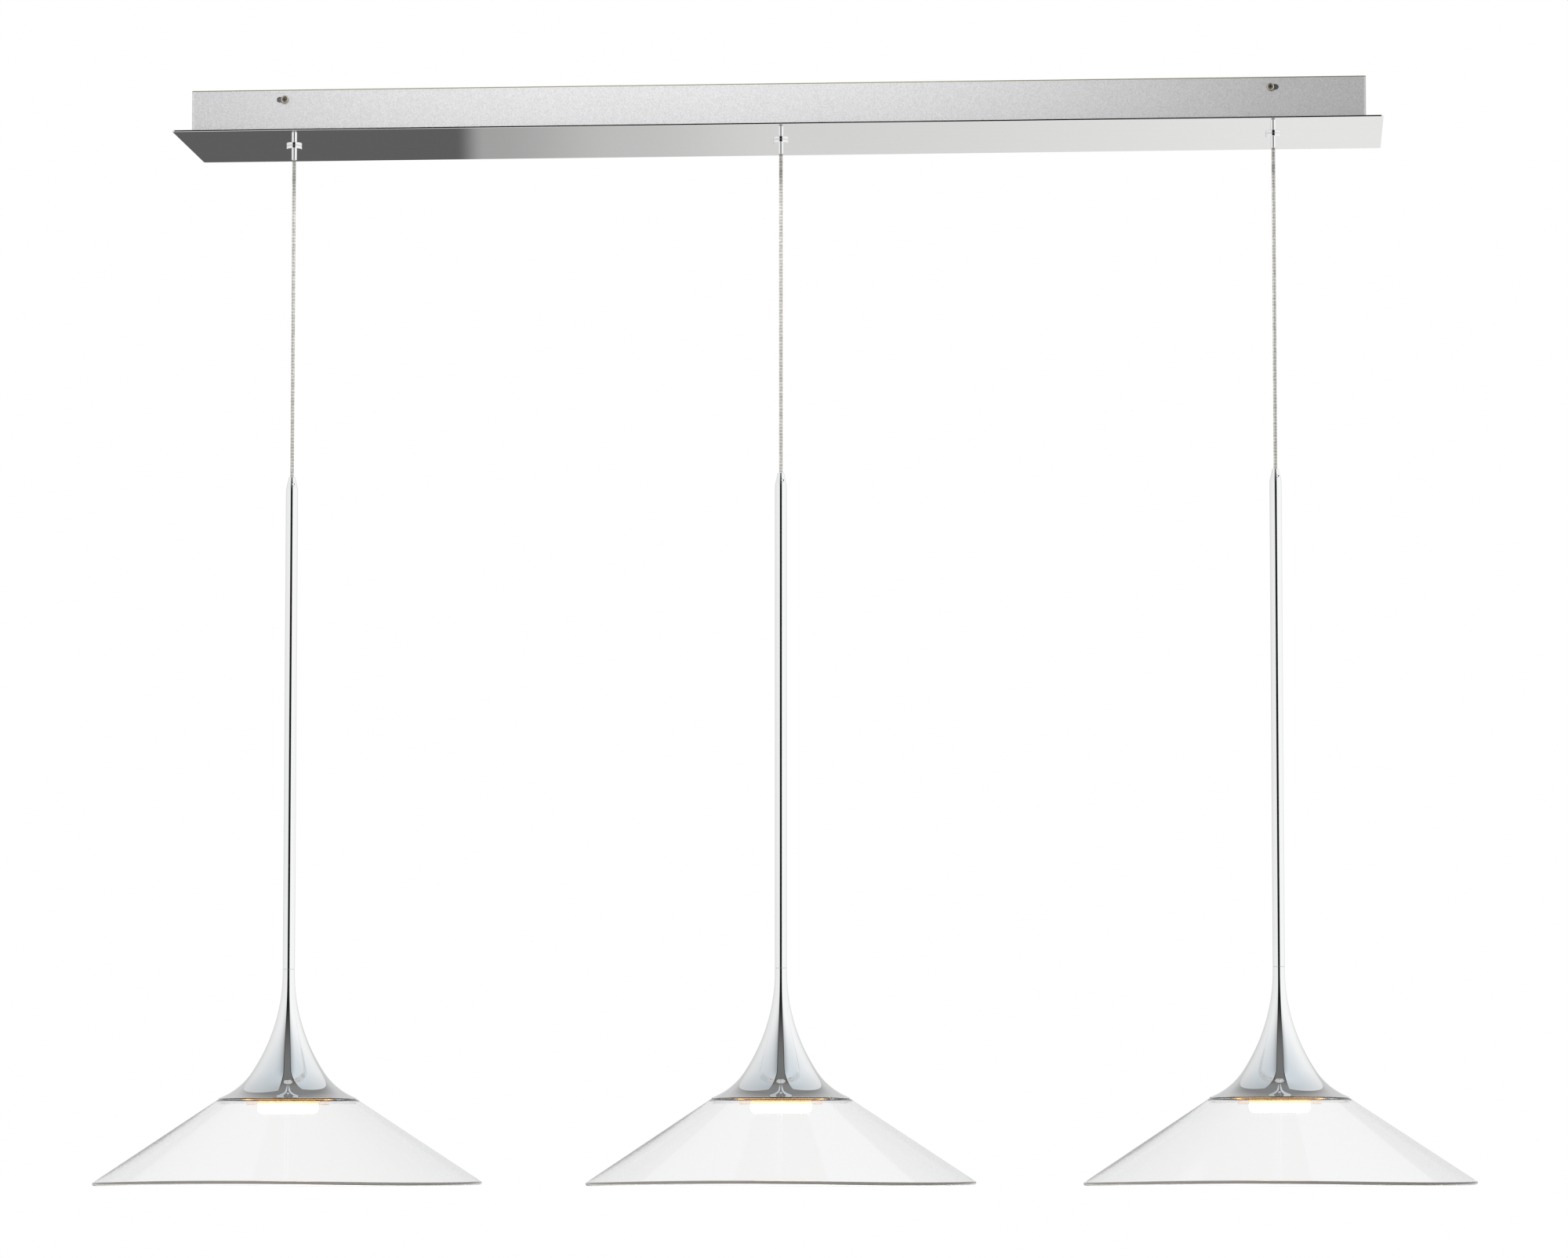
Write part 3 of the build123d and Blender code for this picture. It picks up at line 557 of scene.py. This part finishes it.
# Studio: a pale floor at room height, and a white sweep behind the light.
# Two tall white side walls, a dark open front with the camera and a grey ceiling are what the chrome shows.
FLOOR_R, FLOOR_Z = 5.0, -2.4
floor = bpy.data.objects.new("floor", bpy.data.meshes.new("floor"))
bm = bmesh.new()
floor_place = Matrix.Translation((0, 0, FLOOR_Z))
bmesh.ops.create_circle(bm, segments=96, radius=FLOOR_R, cap_ends=True, matrix=floor_place)
bm.to_mesh(floor.data)
bm.free()
bpy.context.scene.collection.objects.link(floor)
pale = Surface("pale_floor", Roughness=0.7)
pale.set(Base_Color=pale.mix(pale.noise(pale.place, 3), (0.80, 0.80, 0.795, 1), (0.84, 0.84, 0.835, 1)))
sight = [pale.add("ShaderNodeLightPath", {}, {}, f"Is {name} Ray") for name in ("Camera", "Glossy", "Transmission")]
seen_floor = sight[0].maths("MAXIMUM", sight[0].maths("MAXIMUM", *sight[:2]), sight[2])
twice = pale.add("ShaderNodeLightPath", {}, {}, "Glossy Depth").step(1.2, 1.8)
glow = pale.add("ShaderNodeEmission", {}, {"Color": (1, 1, 1, 1)})
lit_floor = pale.add("ShaderNodeMixShader", {}, {0: 0.8 * seen_floor, 1: Tone(pale, pale.shader.outputs[0]), 2: glow})
under = pale.add("ShaderNodeNewGeometry", {}, {}, "Backfacing")
clear = pale.add("ShaderNodeBsdfTransparent")
floor_x, floor_y, _ = pale.axes(pale.place)
far_off = (floor_x * floor_x + floor_y * floor_y).step(5.0, 24.0)
pale.join(
    pale.tree.nodes["Material Output"].inputs["Surface"],
    pale.add(
        "ShaderNodeMixShader", {},
        {0: far_off.maths("MAXIMUM", far_off, under.maths("MAXIMUM", under, twice)), 1: lit_floor, 2: clear},
    ),
)
floor.data.materials.append(pale.material)
pale.material.cycles.emission_sampling = "NONE"

world = bpy.data.worlds.new("studio")
world.use_nodes = True
bpy.context.scene.world = world
sweep = Finish(world.node_tree)
look_x, look_y, look_z = sweep.axes(sweep.add("ShaderNodeTexCoord", {}, {}, "Generated"))
across = 0.997 * look_x + 0.0763 * look_y
aside = abs(across) + 0.002
along = look_y / aside
rise = abs(look_z)
up = rise / aside


def panel(near, top):
    """A side wall as the chrome sees it, cut off at its near end and its top, with a rounded lower corner."""
    far_end = along - 1.75 - 0.19 * up
    far_end = far_end.maths("MAXIMUM", far_end + 0.9, 0) / 0.9
    corner = (2.6 - up).maths("MAXIMUM", 2.6 - up, 0) / 2.6
    top_end = (up - top + 1.5).maths("MAXIMUM", up - top + 1.5, 0) / 1.5
    near_end = (near + 0.6 - along).maths("MAXIMUM", near + 0.6 - along, 0) / 0.6
    inside = 1 - (top_end * top_end + near_end * near_end).step(0.85, 1.15)
    return inside * (1 - (far_end * far_end + 0.25 * corner * corner).step(0.9, 1.1))


wall = panel(-2.7, 6.5)
wall_light = sweep.mix(rise.step(0.45, 1.0), (1.0, 1.0, 1.0, 1), (0.66, 0.72, 0.76, 1))
wall_shade = (1 - 0.22 * along.step(-0.6, 2.2)) * (0.9 + 0.15 * across.step(-0.2, 0.2))
wall_shade = wall_shade * (1 - 0.5 * (1 - along.step(-2.9, -0.3)) * rise.step(0.2, 0.7))
wall_light = sweep.mix(wall_shade, (0, 0, 0, 1), wall_light)
seam = panel(-3.3, 7.7) - wall
front = (0.014 + 0.165 * rise.step(0.33, 0.92)) * (1 - 0.65 * seam)
back = 0.74 - 0.12 * rise.step(0.05, 0.35) - 0.38 * rise.step(0.4, 0.8)
rest = front + (back - front) * look_y.step(-0.05, 0.35)
behind = look_y.step(0.90, 0.95) * (-1 * look_z).step(0.03, 0.07)
ramp = 0.115 + 0.265 * look_x.step(-0.1257, -0.1212) + 0.17 * look_x.step(-0.1215, -0.098)
ramp = ramp + 0.13 * look_x.step(-0.1, -0.075) + 0.15 * look_x.step(-0.08, 0.02)
mirror = sweep.mix(wall, sweep.mix(rest, (0, 0, 0, 1), (1, 1, 1, 1)), wall_light)
mirror = sweep.mix(behind, mirror, sweep.mix(ramp, (0, 0, 0, 1), (1, 1, 1, 1)))
through = 0.6 + (0.28 + 0.22 * abs(look_y).step(0.05, 0.45)) * (1 - abs(look_z).step(0.45, 0.9))
kinds = ("Camera", "Glossy", "Transmission", "Diffuse")
ray = {name: sweep.add("ShaderNodeLightPath", {}, {}, f"Is {name} Ray") for name in kinds}
in_glass = sweep.add("ShaderNodeLightPath", {}, {}, "Transmission Depth").step(0.2, 0.8) * (1 - ray["Diffuse"])
in_glass = in_glass.maths("MAXIMUM", in_glass, ray["Transmission"])
seen = sweep.mix(ray["Glossy"], (0.30, 0.30, 0.30, 1), mirror)
seen = sweep.mix(in_glass, seen, sweep.mix(through, (0, 0, 0, 1), (1, 1, 1, 1)))
seen = sweep.mix(ray["Camera"], seen, (1, 1, 1, 1))
sweep.join(world.node_tree.nodes["Background"].inputs["Color"], seen)

for name, place, aim, width, height, power in (
    ("key_lamp", (-0.10, -0.47, 0.18), (-0.09, -0.066, -0.02), 0.85, 0.12, 4.0),
    ("fill_lamp", (-1.2, -3.2, -0.7), (0, 0, -0.5), 1.6, 1.6, 22),
    ("back_lamp", (0.7, 2.6, 0.5), (0, 0.066, -0.03), 1.8, 0.8, 26),
):
    lamp = bpy.data.objects.new(name, bpy.data.lights.new(name, "AREA"))
    lamp.data.shape = "RECTANGLE"
    lamp.data.size, lamp.data.size_y, lamp.data.energy = width, height, power
    lamp.location = place
    lamp.rotation_euler = (Vector(aim) - Vector(place)).to_track_quat("-Z", "Y").to_euler()
    lamp.visible_camera = lamp.visible_glossy = lamp.visible_transmission = False
    bpy.context.scene.collection.objects.link(lamp)

camera = bpy.data.objects.new("camera", bpy.data.cameras.new("camera"))
camera.data.lens = 147.8
camera.data.sensor_width = 36
camera.data.clip_end = 50
camera.location = (0.408, -5.305, -0.915)
camera.rotation_euler = (math.radians(95.034), 0, math.radians(4.37))
bpy.context.scene.collection.objects.link(camera)
bpy.context.scene.camera = camera
bpy.context.scene.view_settings.view_transform = "Standard"
bpy.context.scene.cycles.max_bounces = 24
bpy.context.scene.cycles.glossy_bounces = 16
bpy.context.scene.cycles.transmission_bounces = 16
